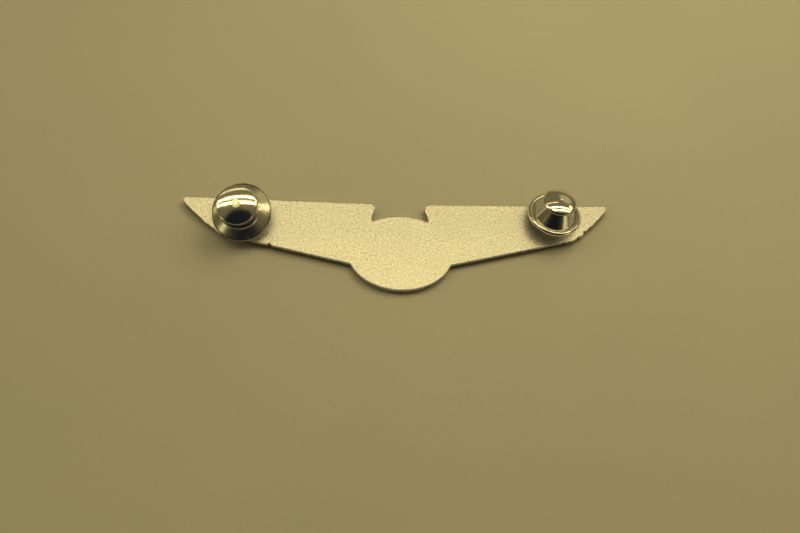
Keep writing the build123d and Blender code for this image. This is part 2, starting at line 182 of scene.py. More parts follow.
def inward(loop):
    """Unit normals of a counter-clockwise loop, pointing into it."""
    along = np.roll(loop, -1, axis=0) - np.roll(loop, 1, axis=0)
    along /= np.hypot(*along.T)[:, None]
    return np.stack((-along[:, 1], along[:, 0]), 1)


def dent_edge(loop, place, depth, width):
    """Pushes the edge in near a place, in a small rounded nick."""
    near = np.hypot(*(loop - place).T)
    return loop + inward(loop) * (depth * np.exp(-(near / width) ** 2))[:, None]


def edge_distance(points, loop):
    """Distance of each point from the closed line."""
    ends = np.roll(loop, -1, axis=0)
    along = ends - loop
    length2 = (along ** 2).sum(1)
    nearest = np.empty(len(points))
    for low in range(0, len(points), 2000):
        part = points[low:low + 2000, None, :] - loop[None]
        share = np.clip((part * along).sum(2) / length2, 0, 1)
        gap = part - share[..., None] * along
        nearest[low:low + 2000] = np.sqrt((gap ** 2).sum(2).min(1))
    return nearest


# ---------------------------------------------------------------- plate relief

def step(value, low, high):
    """Smooth rise from 0 at low to 1 at high."""
    t = np.clip((value - low) / (high - low), 0, 1)
    return t * t * (3 - 2 * t)


def ripple(x, y, seed, scale):
    """Smooth pseudo-random field between about -1 and 1, with features of that size in millimetres."""
    rng = np.random.default_rng(seed)
    total = np.zeros_like(x)
    for _ in range(9):
        turn, phase, stretch = rng.uniform(0, 2 * pi), rng.uniform(0, 2 * pi), rng.uniform(0.6, 1.6)
        total += np.sin((x * cos(turn) + y * sin(turn)) * 2 * pi * stretch / scale + phase)
    return total / 4.0


PRIMARIES = 6                   # long feathers, one for each scallop of the slanted end
FAN_ROOT = 5.0                  # x where the long feathers start
SCALE_LENGTH = 2.7
SCALE_WIDTH = 1.75
SCALE_TILT = radians(-14)


def fan_share(x, y):
    """Which long feather a point of the wing is in: 0 at the lowest edge, 1 at the top edge."""
    low, high = np.full_like(x, -0.15), np.full_like(x, 1.15)
    root_low = LOWER_ROOT[1] + (FAN_ROOT - LOWER_ROOT[0]) * 0.23
    for _ in range(16):
        share = (low + high) / 2
        start_y = root_low + (TOP_CORNER[1] - root_low) * share
        end = slant_point(share)
        side = (end[0] - FAN_ROOT) * (y - start_y) - (end[1] - start_y) * (x - FAN_ROOT)
        low, high = np.where(side > 0, share, low), np.where(side > 0, high, share)
    return (low + high) / 2


def long_feathers(x, y):
    """Height of the overlapping long feathers, each with a quill line and slanted barbs."""
    share = np.clip(fan_share(x, y), 0, 0.9999) * PRIMARIES
    across = share - np.floor(share)
    body = 0.17 * np.sin(pi * np.clip(across, 0.02, 0.98)) ** 0.55
    lap = 0.07 * (1 - across)
    quill = 0.07 * np.exp(-((across - 0.5) / 0.055) ** 2)
    barbs = 0.018 * np.sin(2 * pi * (x / 0.62 + np.abs(across - 0.5) * 2.1))
    return 0.62 + body + lap + quill + barbs * np.sin(pi * across)


def short_feathers(x, y):
    """Height of the rows of short scale-like feathers over the inner wing, 0 where there are none."""
    along = x * cos(SCALE_TILT) + y * sin(SCALE_TILT)
    across = -x * sin(SCALE_TILT) + y * cos(SCALE_TILT)
    height = np.zeros_like(x)
    covered = np.zeros(x.shape, bool)
    for back in (1, 0):
        row = np.floor(along / SCALE_LENGTH) - back + 1
        shift = np.where(row % 2 == 0, 0.0, 0.5)
        column = np.floor(across / SCALE_WIDTH + shift)
        middle = (column + 0.5 - shift) * SCALE_WIDTH
        off = (across - middle) / (SCALE_WIDTH / 2)
        reach = along - (row - 1) * SCALE_LENGTH
        tip = SCALE_LENGTH * (1.0 + 0.55 * np.sqrt(np.clip(1 - off ** 2, 0, 1)) - 0.3)
        root_x = (row - 0.5) * SCALE_LENGTH * cos(SCALE_TILT) - middle * sin(SCALE_TILT)
        root_y = (row - 0.5) * SCALE_LENGTH * sin(SCALE_TILT) + middle * cos(SCALE_TILT)
        inside = (reach >= 0) & (reach < tip) & (root_y > -1.4 + 0.50 * (root_x - 8)) & (root_x > 5)
        lift = 0.92 + 0.10 * reach / SCALE_LENGTH + 0.09 * (1 - off ** 2) + 0.04 * np.exp(-(off / 0.16) ** 2)
        height = np.where(inside & ~covered, lift, height)
        covered |= inside
    return height


def star(x, y, points, outer, inner, turn):
    """Height share of a faceted star: 1 at its middle, 0 at its edge and outside."""
    angle = (np.arctan2(y, x) + turn) % (2 * pi / points)
    angle = np.minimum(angle, 2 * pi / points - angle)
    half = pi / points
    edge = outer * inner * sin(half) / (outer * np.sin(angle) + inner * np.sin(half - angle))
    return np.clip(1 - np.hypot(x, y) / edge, 0, 1)


def emblem_relief(x, y):
    """Depth of the oval emblem: roped rim, pebbled field and a plain eight-point star."""
    share = np.hypot(x / EMBLEM_WIDTH, y / EMBLEM_HEIGHT)
    turn = np.arctan2(y / EMBLEM_HEIGHT, x / EMBLEM_WIDTH)
    rim = step(share, 0.84, 0.88) * (1 - step(share, 0.97, 1.02))
    rope = 0.07 * np.abs(np.sin(turn * 30 + share * 22)) ** 0.7
    line = np.exp(-((share - 0.76) / 0.016) ** 2)
    field = 1.14 + 0.025 * ripple(x, y, 5, 0.9)
    large = star(x, y, 4, 5.2, 1.15, 0)
    small = star(x, y, 4, 3.2, 1.0, pi / 4)
    boss = np.exp(-(np.hypot(x, y) / 0.75) ** 4)
    rays = np.maximum(0.34 * np.minimum(large * 2.2, 1), 0.26 * np.minimum(small * 2.2, 1))
    figure = np.maximum(rays, 0.35 * boss)
    depth = field + figure + 0.13 * line
    return depth * (1 - rim) + (EMBLEM_DEPTH - 0.07 + rope) * rim


def relief_depth(x, y):
    """Depth of the front of the plate below the back face."""
    wing_x = np.abs(x)
    feathers = np.maximum(long_feathers(wing_x, y), short_feathers(wing_x, y))
    (root_x, root_y), (tip_x, tip_y) = TOP_CORNER, TIP_TOP
    top_edge = root_y + (wing_x - root_x) * (tip_y - root_y) / (tip_x - root_x)
    bar = np.clip(1 - ((top_edge - 0.75 - y) / 0.62) ** 2, 0, 1) ** 0.5
    bar_depth = 0.80 + (0.34 - 0.24 * step(wing_x, 12, 37)) * bar
    wing = np.maximum(feathers, np.where(bar > 0, bar_depth, 0))
    share = np.hypot(x / EMBLEM_WIDTH, y / EMBLEM_HEIGHT)
    inside = 1 - step(share, 0.985, 1.02)
    return wing * (1 - inside) + emblem_relief(x, y) * inside


# ---------------------------------------------------------------- meshes

EDGE_GAPS = (0.035, 0.085, 0.15, 0.24)      # distances from the edge of the rings of points beside it
BACK_SPACING = 0.34
FRONT_SPACING = 0.19


def new_object(name, vertices, faces, body, nodes, material):
    """Mesh object from points in metres, riding on a body and standing for CAD nodes."""
    mesh = bpy.data.meshes.new(name)
    mesh.from_pydata([tuple(v) for v in vertices], [], [tuple(int(i) for i in f) for f in faces])
    mesh.validate()
    mesh.update()
    piece = bpy.data.objects.new(name, mesh)
    bpy.context.scene.collection.objects.link(piece)
    mesh.materials.append(material)
    mesh.shade_smooth()
    if nodes:
        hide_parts(*nodes)
    if body:
        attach(piece, body)
    return piece


def filled(loop, spacing):
    """Triangles that fill the closed line: points, triangles and each point's distance from the edge."""
    normals = inward(loop)
    near = []
    for ring, gap in enumerate(EDGE_GAPS):
        ring_points = (loop + normals * gap)[ring % 2::1 + ring // 2]
        near.append(ring_points[edge_distance(ring_points, loop) > 0.93 * gap])
    low, high = loop.min(0), loop.max(0)
    rows = np.arange(low[1], high[1], spacing * sqrt(3) / 2)
    grid = []
    for n, y in enumerate(rows):
        across = np.arange(low[0] + (n % 2) * spacing / 2, high[0], spacing)
        grid.append(np.stack((across, np.full_like(across, y)), 1))
    grid = np.vstack(grid)
    grid = grid[inside_loop(grid, loop)]
    grid = grid[edge_distance(grid, loop) > EDGE_GAPS[-1] + 0.6 * spacing]
    points = np.vstack((loop, *near, grid))
    count = len(loop)
    edges = [(i, (i + 1) % count) for i in range(count)]
    found, _, faces, sources, _, _ = delaunay_2d_cdt([Vector(p) for p in points], edges, [], 1, 1e-6, True)
    where = np.full(len(points), -1)
    for index, given in enumerate(sources):
        where[given] = index
    points = np.array([tuple(p) for p in found])
    faces = np.array([tuple(f) for f in faces])
    faces = faces[inside_loop(points[faces].mean(1), loop)]
    return points, faces, where[:count], edge_distance(points, loop)


def inside_loop(points, loop):
    """Whether each point is inside the closed line, by counting crossings to its right."""
    ends = np.roll(loop, -1, axis=0)
    inside = np.zeros(len(points), bool)
    for (x0, y0), (x1, y1) in zip(loop, ends):
        crosses = (y0 > points[:, 1]) != (y1 > points[:, 1])
        if not crosses.any():
            continue
        reach = x0 + (points[:, 1] - y0) * (x1 - x0) / (y1 - y0 + 1e-12)
        inside ^= crosses & (points[:, 0] < reach)
    return inside


def rounding(distance, radius):
    """How far a rounded edge drops at a distance from the edge."""
    inner = np.clip(radius - distance, 0, radius)
    return radius - np.sqrt(np.maximum(radius ** 2 - inner ** 2, 0))


def make_plate(material):
    """The cast badge: flat grained back, rounded edge, and relief on the front."""
    loop = outline()
    back_xy, back_faces, back_edge, back_gap = filled(loop, BACK_SPACING)
    front_xy, front_faces, front_edge, front_gap = filled(loop, FRONT_SPACING)
    sink = 0.012 * (1 + ripple(back_xy[:, 0], back_xy[:, 1], 2, 9.0)) * step(back_gap, 0, 1.0)
    back_z = -rounding(back_gap, BACK_ROUND) - sink
    depth = relief_depth(front_xy[:, 0], front_xy[:, 1])
    border = 0.80 + 0.04 * ripple(front_xy[:, 0], front_xy[:, 1], 3, 4.0)
    is_oval = step(EMBLEM_HEIGHT * (1.02 - oval_share(front_xy)), 0, 0.3)
    border = border * (1 - is_oval) + 1.36 * is_oval
    blend = step(front_gap, 0.04, 0.34)
    depth = border * (1 - blend) + depth * blend
    front_z = -depth + rounding(front_gap, FRONT_ROUND)
    back = np.column_stack((back_xy, back_z))
    front = np.column_stack((front_xy, np.maximum(front_z, -EMBLEM_DEPTH)))
    # The wall: rings between the two edges, bulging a little
    rings = [back[back_edge]]
    levels = (0.25, 0.5, 0.75)
    for level in levels:
        ring = back[back_edge] * (1 - level) + front[front_edge] * level
        bulge = 0.012 * sin(pi * level) * ripple(ring[:, 0], ring[:, 1], 4, 1.6)
        ring[:, :2] += inward(loop) * bulge[:, None]
        rings.append(ring)
    vertices = [back, front, *rings[1:]]
    first_ring = len(back) + len(front)
    count = len(loop)
    ids = [back_edge] + [first_ring + n * count + np.arange(count) for n in range(len(levels))]
    ids.append(front_edge + len(back))
    faces = [tuple(f) for f in back_faces]
    faces += [tuple(i + len(back) for i in reversed(f)) for f in front_faces]
    for upper, lower in zip(ids, ids[1:]):
        for i in range(count):
            j = (i + 1) % count
            faces.append((upper[i], lower[i], lower[j], upper[j]))
    plate = new_object("wings_plate", np.vstack(vertices) * MM, faces, "badge", ["badge_plate"],
                       material)
    # Darkening for the finish: antique darkening in the front's hollows, and on the edge wall painted shade
    # that partly stands for a dull cast edge.
    hollow_and_painted_shade = np.zeros(len(plate.data.vertices), np.float32)
    hollow_and_painted_shade[len(back):first_ring] = step(1.0 - relief_shine(front_xy), 0.2, 0.9)
    # Edge wall: painted shade, partly a dull cast edge.
    hollow_and_painted_shade[first_ring:] = 0.4
    attribute = plate.data.attributes.new("hollow_and_painted_shade", "FLOAT", "POINT")
    attribute.data.foreach_set("value", hollow_and_painted_shade)
    return plate


def relief_shine(points):
    """1 on the high parts of the relief and towards 0 in its hollows."""
    x, y = points[:, 0], points[:, 1]
    depth = relief_depth(x, y)
    around = sum(relief_depth(x + dx, y + dy) for dx, dy in ((0.3, 0), (-0.3, 0), (0, 0.3), (0, -0.3))) / 4
    return np.clip(0.6 + (depth - around) / 0.12, 0, 1)


# ---------------------------------------------------------------- turned parts

JOINTS = {joint["name"]: joint for joint in frame["joints"]}
TURN_STEPS = 240
RIM_STAND_OFF = 2.2             # height of a clutch's widest circle above the back face, along its post
SHEET = 0.25
POST_RADIUS = 0.53
STEM_HOLE = 1.08
HUB_RADIUS = 2.2
SPRING_RADIUS = 1.5
SPRING_WIRE = 0.07
SPRING_TURNS = 2.5
KNOB_TRAVEL = 0.7
HUB_BORE = 1.95
BALL_HEIGHTS = {"left": 0.75, "right": 0.5}
LEFT_COLLAR = 3.30
LEFT_WAIST = 2.95
LEFT_KNOB_TOP = 5.2
LEFT_RIVET_TOP = 5.22
RIGHT_DOME_SPHERE = 6.0
RIGHT_KNOB_TOP = 4.40
RIGHT_NIPPLE_TOP = 4.50
DISC_HOLE = 0.60


def clutch_matrix(side, upright=False):
    """Places a clutch: local z along its post, origin in the plane of its widest circle."""
    joint = JOINTS[f"{side}_clutch_spin"]
    axis = Vector(joint["axis"]).normalized()
    foot = Vector(joint["pos_m"]) - axis * RIM_STAND_OFF * MM
    across = Vector((0, 1, 0)).cross(axis).normalized()
    placed = Matrix((across, axis.cross(across), axis)).transposed().to_4x4()
    placed.translation = Vector(joint["pos_m"])
    return Matrix.Translation(foot) if upright else placed


def arc(centre, radius, start, end, count=9):
    """Points on a circle from one angle to another, degrees, both ends included."""
    turn = np.radians(np.linspace(start, end, count))
    return [(centre[0] + radius * cos(t), centre[1] + radius * sin(t)) for t in turn]


def crown(tilts, top, count):
    """Points over a shallow dome from its edge inwards, from pairs of radius and surface tilt in degrees."""
    radii = np.linspace(0, tilts[-1][0], count)
    slope = np.tan(np.radians(np.interp(radii, *zip(*tilts))))
    drop = np.concatenate(([0], np.cumsum((slope[1:] + slope[:-1]) / 2 * np.diff(radii))))
    return [(r, top - d) for r, d in zip(radii, drop)][:0:-1]


def cap_of_sphere(edge, sphere, top, count):
    """Points over a shallow dome of that sphere radius, from its edge radius inwards, its axis left out."""
    return [(r, top - sphere + sqrt(sphere ** 2 - r ** 2)) for r in np.linspace(edge, 0, count)[:-1]]


def rounded(profile, radius):
    """Closed profile with every sharp corner turned into a small arc."""
    points = [np.array(p, float) for p in profile]
    result = []
    for before, corner, after in zip(points[-1:] + points[:-1], points, points[1:] + points[:1]):
        into, out = corner - before, after - corner
        lengths = np.hypot(*into), np.hypot(*out)
        turn = abs(atan2(into[0] * out[1] - into[1] * out[0], into @ out))
        if turn < radians(20) or corner[0] < 1e-6:
            result.append(tuple(corner))
            continue
        cut = min(radius * tan(turn / 2), 0.42 * min(lengths))
        start, end = corner - into / lengths[0] * cut, corner + out / lengths[1] * cut
        for t in (0, 0.2, 0.4, 0.6, 0.8, 1):
            result.append(tuple(start * (1 - t) ** 2 + corner * 2 * t * (1 - t) + end * t ** 2))
    return result


def divided(profile, longest):
    """Closed profile with its long straight stretches cut into shorter ones."""
    result = []
    for start, end in zip(profile, profile[1:] + profile[:1]):
        start, end = np.array(start, float), np.array(end, float)
        if start[0] < 1e-6 and end[0] < 1e-6:
            result.append(tuple(start))
            continue
        parts = max(1, int(np.hypot(*(end - start)) / longest))
        result += [tuple(start + (end - start) * n / parts) for n in range(parts)]
    return result


def painted_shade_share(radius, height, zones):
    """Strength of the strongest zone of painted shade that holds a point of a profile."""
    shares = [0]
    for inner, outer, low, high, share in zones:
        if inner <= radius <= outer and low <= height <= high:
            shares.append(share)
    return max(shares)


def turned(name, profile, placed, body, nodes, slot, material,
           wobble=0.006, seed=0, corner=0.05, longest=0.25, painted_shade=()):
    """Solid of revolution from a closed (radius, height) profile, slightly uneven like a pressed part.

    Painted shade is a list of dull, dark zones painted where shade falls: lowest and highest radius, lowest
    and highest height, and strength.
    """
    profile = divided(rounded(profile, corner), longest)
    area = sum(a[0] * b[1] - b[0] * a[1] for a, b in zip(profile, profile[1:] + profile[:1]))
    if area < 0:
        profile.reverse()
    angle = np.linspace(0, 2 * pi, TURN_STEPS, endpoint=False)
    rings, vertices = [], []
    for radius, height in profile:
        if radius < 1e-6:
            rings.append([len(vertices)] * TURN_STEPS)
            vertices.append((0, 0, height))
            continue
        rings.append(list(range(len(vertices), len(vertices) + TURN_STEPS)))
        x, y = radius * np.cos(angle), radius * np.sin(angle)
        uneven = 1 + wobble * ripple(x, y, seed, 7.0) / 4
        sink = wobble * ripple(x + 3, y, seed + 1, 5.0) * min(radius, 1)
        vertices += [tuple(v) for v in np.column_stack((x * uneven, y * uneven, height + sink))]
    faces, corners = [], []
    for ring, (lower, upper) in enumerate(zip(rings, rings[1:] + rings[:1])):
        if lower[0] == lower[1] and upper[0] == upper[1]:
            continue
        for i in range(TURN_STEPS):
            j = (i + 1) % TURN_STEPS
            around = (
                (lower[i], i, ring),
                (lower[j], i + 1, ring),
                (upper[j], i + 1, ring + 1),
                (upper[i], i, ring + 1),
            )
            face = {vertex: (u / TURN_STEPS, v / len(rings)) for vertex, u, v in around}
            faces.append(tuple(face))
            corners += face.values()
    local = np.array(vertices) * MM
    piece = new_object(name, [placed @ Vector(v) for v in local], faces, body, nodes, material)
    piece.data.set_sharp_from_angle(angle=radians(45))
    attribute = piece.data.attributes.new("turned", "FLOAT_VECTOR", "POINT")
    attribute.data.foreach_set("vector", local.astype(np.float32).ravel())
    # Strength of the painted shade at each point of the profile.
    dark = [painted_shade_share(r, h, painted_shade) for r, h in profile]
    counts = [1 if r < 1e-6 else TURN_STEPS for r, _ in profile]
    hollow_and_painted_shade = piece.data.attributes.new("hollow_and_painted_shade", "FLOAT", "POINT")
    hollow_and_painted_shade.data.foreach_set("value", np.repeat(np.array(dark, np.float32), counts))
    unwrapped = piece.data.uv_layers.new(name="around")
    unwrapped.data.foreach_set("uv", np.array(corners, np.float32).ravel())
    return piece


def under_cone(foot, top):
    """A cone line moved one sheet thickness square to itself, on its inner side."""
    run, rise = top[0] - foot[0], top[1] - foot[1]
    shift = SHEET / sqrt(run ** 2 + rise ** 2)
    return [(r - rise * shift, h + run * shift) for r, h in (foot, top)]


def hub_heights(ball_height):
    """Foot of the spring, ceiling and top of the hub that hides in the knob, from the height of the balls."""
    spring_foot = ball_height + KNOB_TRAVEL + 0.45 + SHEET + 0.2
    ceiling = spring_foot + KNOB_TRAVEL + 2 * SPRING_WIRE * (SPRING_TURNS + 0.5)
    return spring_foot, ceiling, ceiling + SHEET


def make_left_clutch(finishes):
    """Low spun cone with a thin rolled edge, collar and tall domed knob."""
    placed = clutch_matrix("left")
    _, ceiling, hub_top = hub_heights(BALL_HEIGHTS["left"])
    foot, top = (4.90, 0.16), (3.40, 1.20)
    inner_foot, inner_top = under_cone(foot, top)
    bore = LEFT_COLLAR - SHEET
    share = (bore - inner_foot[0]) / (inner_top[0] - inner_foot[0])
    bore_height = inner_foot[1] + (inner_top[1] - inner_foot[1]) * share
    rolled_edge = [(4.05, -0.2), *arc((5.02, -0.04), 0.16, -90, 80), (4.99, 0.075), (4.96, 0.11)]
    collar = [(3.36, 1.26), (LEFT_COLLAR, 1.32), (LEFT_COLLAR, 1.60), (3.22, 1.75)]
    hub = [(HUB_RADIUS, 1.75), (HUB_RADIUS, hub_top), (STEM_HOLE, hub_top), (STEM_HOLE, ceiling)]
    inside = [(HUB_BORE, ceiling), (HUB_BORE, 1.5), (bore, 1.5), (bore, bore_height)]
    lip = [inner_foot, (inner_foot[0], -0.075), (4.05, -0.075)]
    shell = [*rolled_edge, foot, top, *collar, *hub, *inside, *lip]
    # Painted shade: a dark ring in the groove inside the rolled edge.
    turned("left_shell_spun", shell, placed, "left_clutch", ["left_shell"], "left_shell_metal",
           finishes["spun"], wobble=0.004, seed=11, corner=0.06, painted_shade=[(4.91, 5.06, 0.0, 0.14, 1.0)])
    skirt = [(2.70, 1.92), *arc((3.46, 2.04), 0.12, -90, 75, 9), (LEFT_COLLAR, 2.24), (3.02, 2.36)]
    waist = [(LEFT_WAIST, 2.50), (LEFT_WAIST, 3.85), (3.02, 3.98), (3.36, 4.24)]
    bend = arc((3.30, 4.42), 0.15, -40, 60, 10)
    dome = crown([(0, 0), (3.1, 18.0), (3.3, 28.0)], LEFT_KNOB_TOP, 60)
    dome_inside = cap_of_sphere(2.70, 9.75, 4.95, 20)[::-1]
    cap = [*skirt, *waist, *bend, *dome, (0, LEFT_KNOB_TOP), (0, 4.95), *dome_inside]
    # Painted shade in the undercut waist below the edge of the knob's dome.
    turned("left_knob_dome", cap, placed, "left_knob", ["left_cap"], "left_knob_metal",
           finishes["dome"], wobble=0.006, seed=14, corner=0.03, painted_shade=[(2.90, 3.40, 2.2, 4.28, 0.6)])
    head = [*arc((0.70, 5.13), 0.08, 0, 60, 4), *cap_of_sphere(0.66, 30.0, LEFT_RIVET_TOP, 12)]
    rivet = [(0, 5.0), (0.78, 5.0), *head, (0, LEFT_RIVET_TOP)]
    turned("left_knob_rivet", rivet, placed, "left_knob", [], "left_knob_metal",
           finishes["rivet"], wobble=0.012, seed=17, corner=0.02)
    disc = [(DISC_HOLE, -0.05), (4.35, -0.05), (4.35, 0.15), (DISC_HOLE, 0.15)]
    turned("left_guide_plate", with_groove(disc, 2.5, -0.05), placed, "left_guide", ["left_guide_disc"],
           "disc_metal", finishes["disc"], wobble=0.004, seed=19, corner=0.05)


def with_groove(disc, radius, bottom):
    """Flat ring profile with a shallow stamped groove round its underside."""
    inner, outer, *rest = disc
    return [inner, (radius - 0.25, bottom), (radius - 0.12, bottom + 0.07), (radius + 0.12, bottom + 0.07),
            (radius + 0.25, bottom), outer, *rest]


def make_right_clutch(finishes):
    """Steep drawn cone with a heavy rolled edge and a low mushroom knob."""
    placed = clutch_matrix("right")
    _, ceiling, hub_top = hub_heights(BALL_HEIGHTS["right"])
    foot, top = (3.92, 0.10), (2.40, 2.60)
    inner_foot, inner_top = under_cone(foot, top)
    rolled_edge = [(3.5, -0.45), *arc((4.36, 0), 0.45, -90, 152, 23)]
    hub = [(HUB_RADIUS, 2.65), (HUB_RADIUS, hub_top), (STEM_HOLE, hub_top), (STEM_HOLE, ceiling)]
    inside = [(HUB_BORE, ceiling), (HUB_BORE, inner_top[1]), inner_top, inner_foot]
    lip = [(3.86, inner_foot[1] - 0.12), (3.86, -0.325), (3.5, -0.325)]
    shell = [*rolled_edge, foot, top, *hub, *inside, *lip]
    # Painted shade darkens the cone a little, standing in for its dark reflection.
    turned("right_shell_drawn", shell, placed, "right_clutch", ["right_shell"], "right_shell_metal",
           finishes["drawn"], wobble=0.008, seed=23, corner=0.10, painted_shade=[(2.3, 3.95, 0.12, 2.62, 0.22)])
    under = [(2.42, 2.85), (2.67, 2.85), (2.88, 3.33), *arc((2.86, 3.475), 0.1, -50, 60, 7)]
    dome = cap_of_sphere(2.75, RIGHT_DOME_SPHERE, RIGHT_KNOB_TOP, 40)
    dome_inside = cap_of_sphere(2.41, RIGHT_DOME_SPHERE, 4.15, 14)[::-1]
    cap = [*under, *dome, (0, RIGHT_KNOB_TOP), (0, 4.15), *dome_inside]
    # Painted shade under the rim of the mushroom knob.
    turned("right_knob_mushroom", cap, placed, "right_knob", ["right_cap"], "right_knob_metal",
           finishes["mushroom"], wobble=0.008, seed=29, corner=0.05, painted_shade=[(2.6, 2.87, 2.8, 3.38, 0.7)])
    head = cap_of_sphere(0.21, 0.35, RIGHT_NIPPLE_TOP, 8)
    nipple = [(0, 4.3), (0.24, 4.3), (0.24, 4.42), *head, (0, RIGHT_NIPPLE_TOP)]
    turned("right_knob_rivet", nipple, placed, "right_knob", [], "right_knob_metal",
           finishes["mushroom"], wobble=0.01, seed=33, corner=0.03)
    disc = [(DISC_HOLE, -0.30), (3.80, -0.30), (3.80, -0.10), (DISC_HOLE, -0.10)]
    turned("right_guide_plate", with_groove(disc, 2.3, -0.30), placed, "right_guide", ["right_guide_disc"],
           "disc_metal", finishes["disc"], wobble=0.004, seed=31, corner=0.05)


def make_post(side, finishes):
    """Bent pin with a retaining groove and a pointed end, and the solder round its foot."""
    down = -RIM_STAND_OFF
    groove = POST_RADIUS - 0.1
    shank = [(0, down - 0.3), (POST_RADIUS, down - 0.3), (POST_RADIUS, down + 4.45)]
    neck = [(groove, down + 4.55), (groove, down + 4.65), (POST_RADIUS, down + 4.75)]
    point = [(POST_RADIUS, down + 5.1), (0.42, down + 5.35), (0.13, down + 5.96), (0, down + 6.0)]
    turned(f"{side}_post_pin", [*shank, *neck, *point], clutch_matrix(side), "badge", [f"{side}_post"],
           "post_metal", finishes["post"], wobble=0.004, seed=37, corner=0.04)
    solder = [(0, -0.2), (1.32, -0.2), (1.32, 0.02), (1.12, 0.07), (0.88, 0.17), (0.72, 0.30), (0, 0.30)]
    upright = clutch_matrix(side, upright=True)
    turned(f"{side}_solder_fillet", solder, upright, "badge", [f"{side}_post_solder"],
           "solder", finishes["solder"], wobble=0.05, seed=41, corner=0.08)


def make_spring(side, material):
    """Coil spring inside the hub, pressed flat when the knob is pulled."""
    spring_foot, ceiling, _ = hub_heights(BALL_HEIGHTS[side])
    low, high = spring_foot + SPRING_WIRE + 0.01, ceiling - SPRING_WIRE - 0.01
    steps, around = int(SPRING_TURNS * 48), 12
    turn = np.linspace(0, 2 * pi * SPRING_TURNS, steps + 1)
    rise = (high - low) / (2 * pi * SPRING_TURNS)
    vertices, faces = [], []
    for t in turn:
        out = np.array((cos(t), sin(t), 0))
        along = np.array((-SPRING_RADIUS * sin(t), SPRING_RADIUS * cos(t), rise))
        up = np.cross(out, along / np.linalg.norm(along))
        centre = out * SPRING_RADIUS + np.array((0, 0, low + rise * t))
        for a in np.linspace(0, 2 * pi, around, endpoint=False):
            vertices.append(centre + SPRING_WIRE * (cos(a) * out + sin(a) * up))
    for n in range(steps):
        for a in range(around):
            b = (a + 1) % around
            faces.append((n * around + a, (n + 1) * around + a, (n + 1) * around + b, n * around + b))
    faces.append(tuple(range(around)))
    faces.append(tuple(reversed(range(steps * around, (steps + 1) * around))))
    placed = clutch_matrix(side)
    spring = new_object(f"{side}_spring_coil", [placed @ Vector(v * MM) for v in vertices], faces,
                        f"{side}_knob_spring", [f"{side}_spring"], material)
    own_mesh(spring)


# ---------------------------------------------------------------- materials

class Finish:
    """A procedural material under construction: short calls add nodes and give back their outputs."""

    def __init__(self, name, colour, roughness, metallic=1.0):
        self.material = bpy.data.materials.new(name)
        self.material.use_nodes = True
        self.nodes = self.material.node_tree.nodes
        self.links = self.material.node_tree.links
        self.bsdf = self.nodes["Principled BSDF"]
        self.set("Base Color", (*colour, 1))
        self.set("Roughness", roughness)
        self.set("Metallic", metallic)

    def set(self, socket, value):
        """Sets a shader socket to a constant or to another node's output."""
        self.join(self.bsdf.inputs[socket], value)

    def join(self, socket, value):
        if isinstance(value, bpy.types.NodeSocket):
            self.links.new(value, socket)
        else:
            socket.default_value = value

    def place(self):
        """Coordinates on the piece, in metres."""
        return self.nodes.new("ShaderNodeTexCoord").outputs["Object"]

    def math(self, operation, first, second=0.0, clamp=False):
        node = self.nodes.new("ShaderNodeMath")
        node.operation, node.use_clamp = operation, clamp
        self.join(node.inputs[0], first)
        self.join(node.inputs[1], second)
        return node.outputs[0]

    def polar(self, around, across):
        """Coordinates stretched round the axis: how many cells go round, and how many a metre across."""
        turned = self.nodes.new("ShaderNodeAttribute")
        turned.attribute_name = "turned"
        parts = self.nodes.new("ShaderNodeSeparateXYZ")
        self.links.new(turned.outputs["Vector"], parts.inputs[0])
        x, y, z = parts.outputs
        radius = self.math("SQRT", self.math("ADD", self.math("POWER", x, 2), self.math("POWER", y, 2)))
        safe = self.math("ADD", radius, 1e-6)
        vector = self.nodes.new("ShaderNodeCombineXYZ")
        self.join(vector.inputs[0], self.math("MULTIPLY", self.math("DIVIDE", x, safe), around))
        self.join(vector.inputs[1], self.math("MULTIPLY", self.math("DIVIDE", y, safe), around))
        reach = self.math("SUBTRACT", radius, z)
        self.join(vector.inputs[2], self.math("MULTIPLY", reach, across))
        return vector.outputs[0]

    def noise(self, vector, scale, detail=3.0, roughness=0.55):
        node = self.nodes.new("ShaderNodeTexNoise")
        self.join(node.inputs["Vector"], vector)
        for socket, value in (("Scale", scale), ("Detail", detail), ("Roughness", roughness)):
            node.inputs[socket].default_value = value
        return node.outputs["Fac"]

    def spread(self, value, low, high, to_low, to_high):
        """Maps a range of a value to another range, clamped at its ends."""
        node = self.nodes.new("ShaderNodeMapRange")
        self.join(node.inputs["Value"], value)
        for socket, number in zip(("From Min", "From Max", "To Min", "To Max"), (low, high, to_low, to_high)):
            node.inputs[socket].default_value = number
        return node.outputs["Result"]

    def mix(self, share, first, second):
        """Colour between two colours."""
        node = self.nodes.new("ShaderNodeMix")
        node.data_type = "RGBA"
        self.join(node.inputs["Factor"], share)
        for socket, colour in zip(node.inputs[6:8], (first, second)):
            self.join(socket, (*colour, 1) if isinstance(colour, tuple) else colour)
        return node.outputs[2]

    def bump(self, height, strength, distance, under=None):
        """Bump, on top of another one where it is given."""
        node = self.nodes.new("ShaderNodeBump")
        node.inputs["Strength"].default_value = strength
        node.inputs["Distance"].default_value = distance
        self.join(node.inputs["Height"], height)
        if under is not None:
            self.links.new(under, node.inputs["Normal"])
        self.links.new(node.outputs[0], self.bsdf.inputs["Normal"])
        return node.outputs[0]

    def attribute(self, name):
        node = self.nodes.new("ShaderNodeAttribute")
        node.attribute_name = name
        return node.outputs["Fac"]


# Colour of the painted shade on the turned parts.
PAINTED_SHADE_COLOUR = (0.035, 0.033, 0.03)


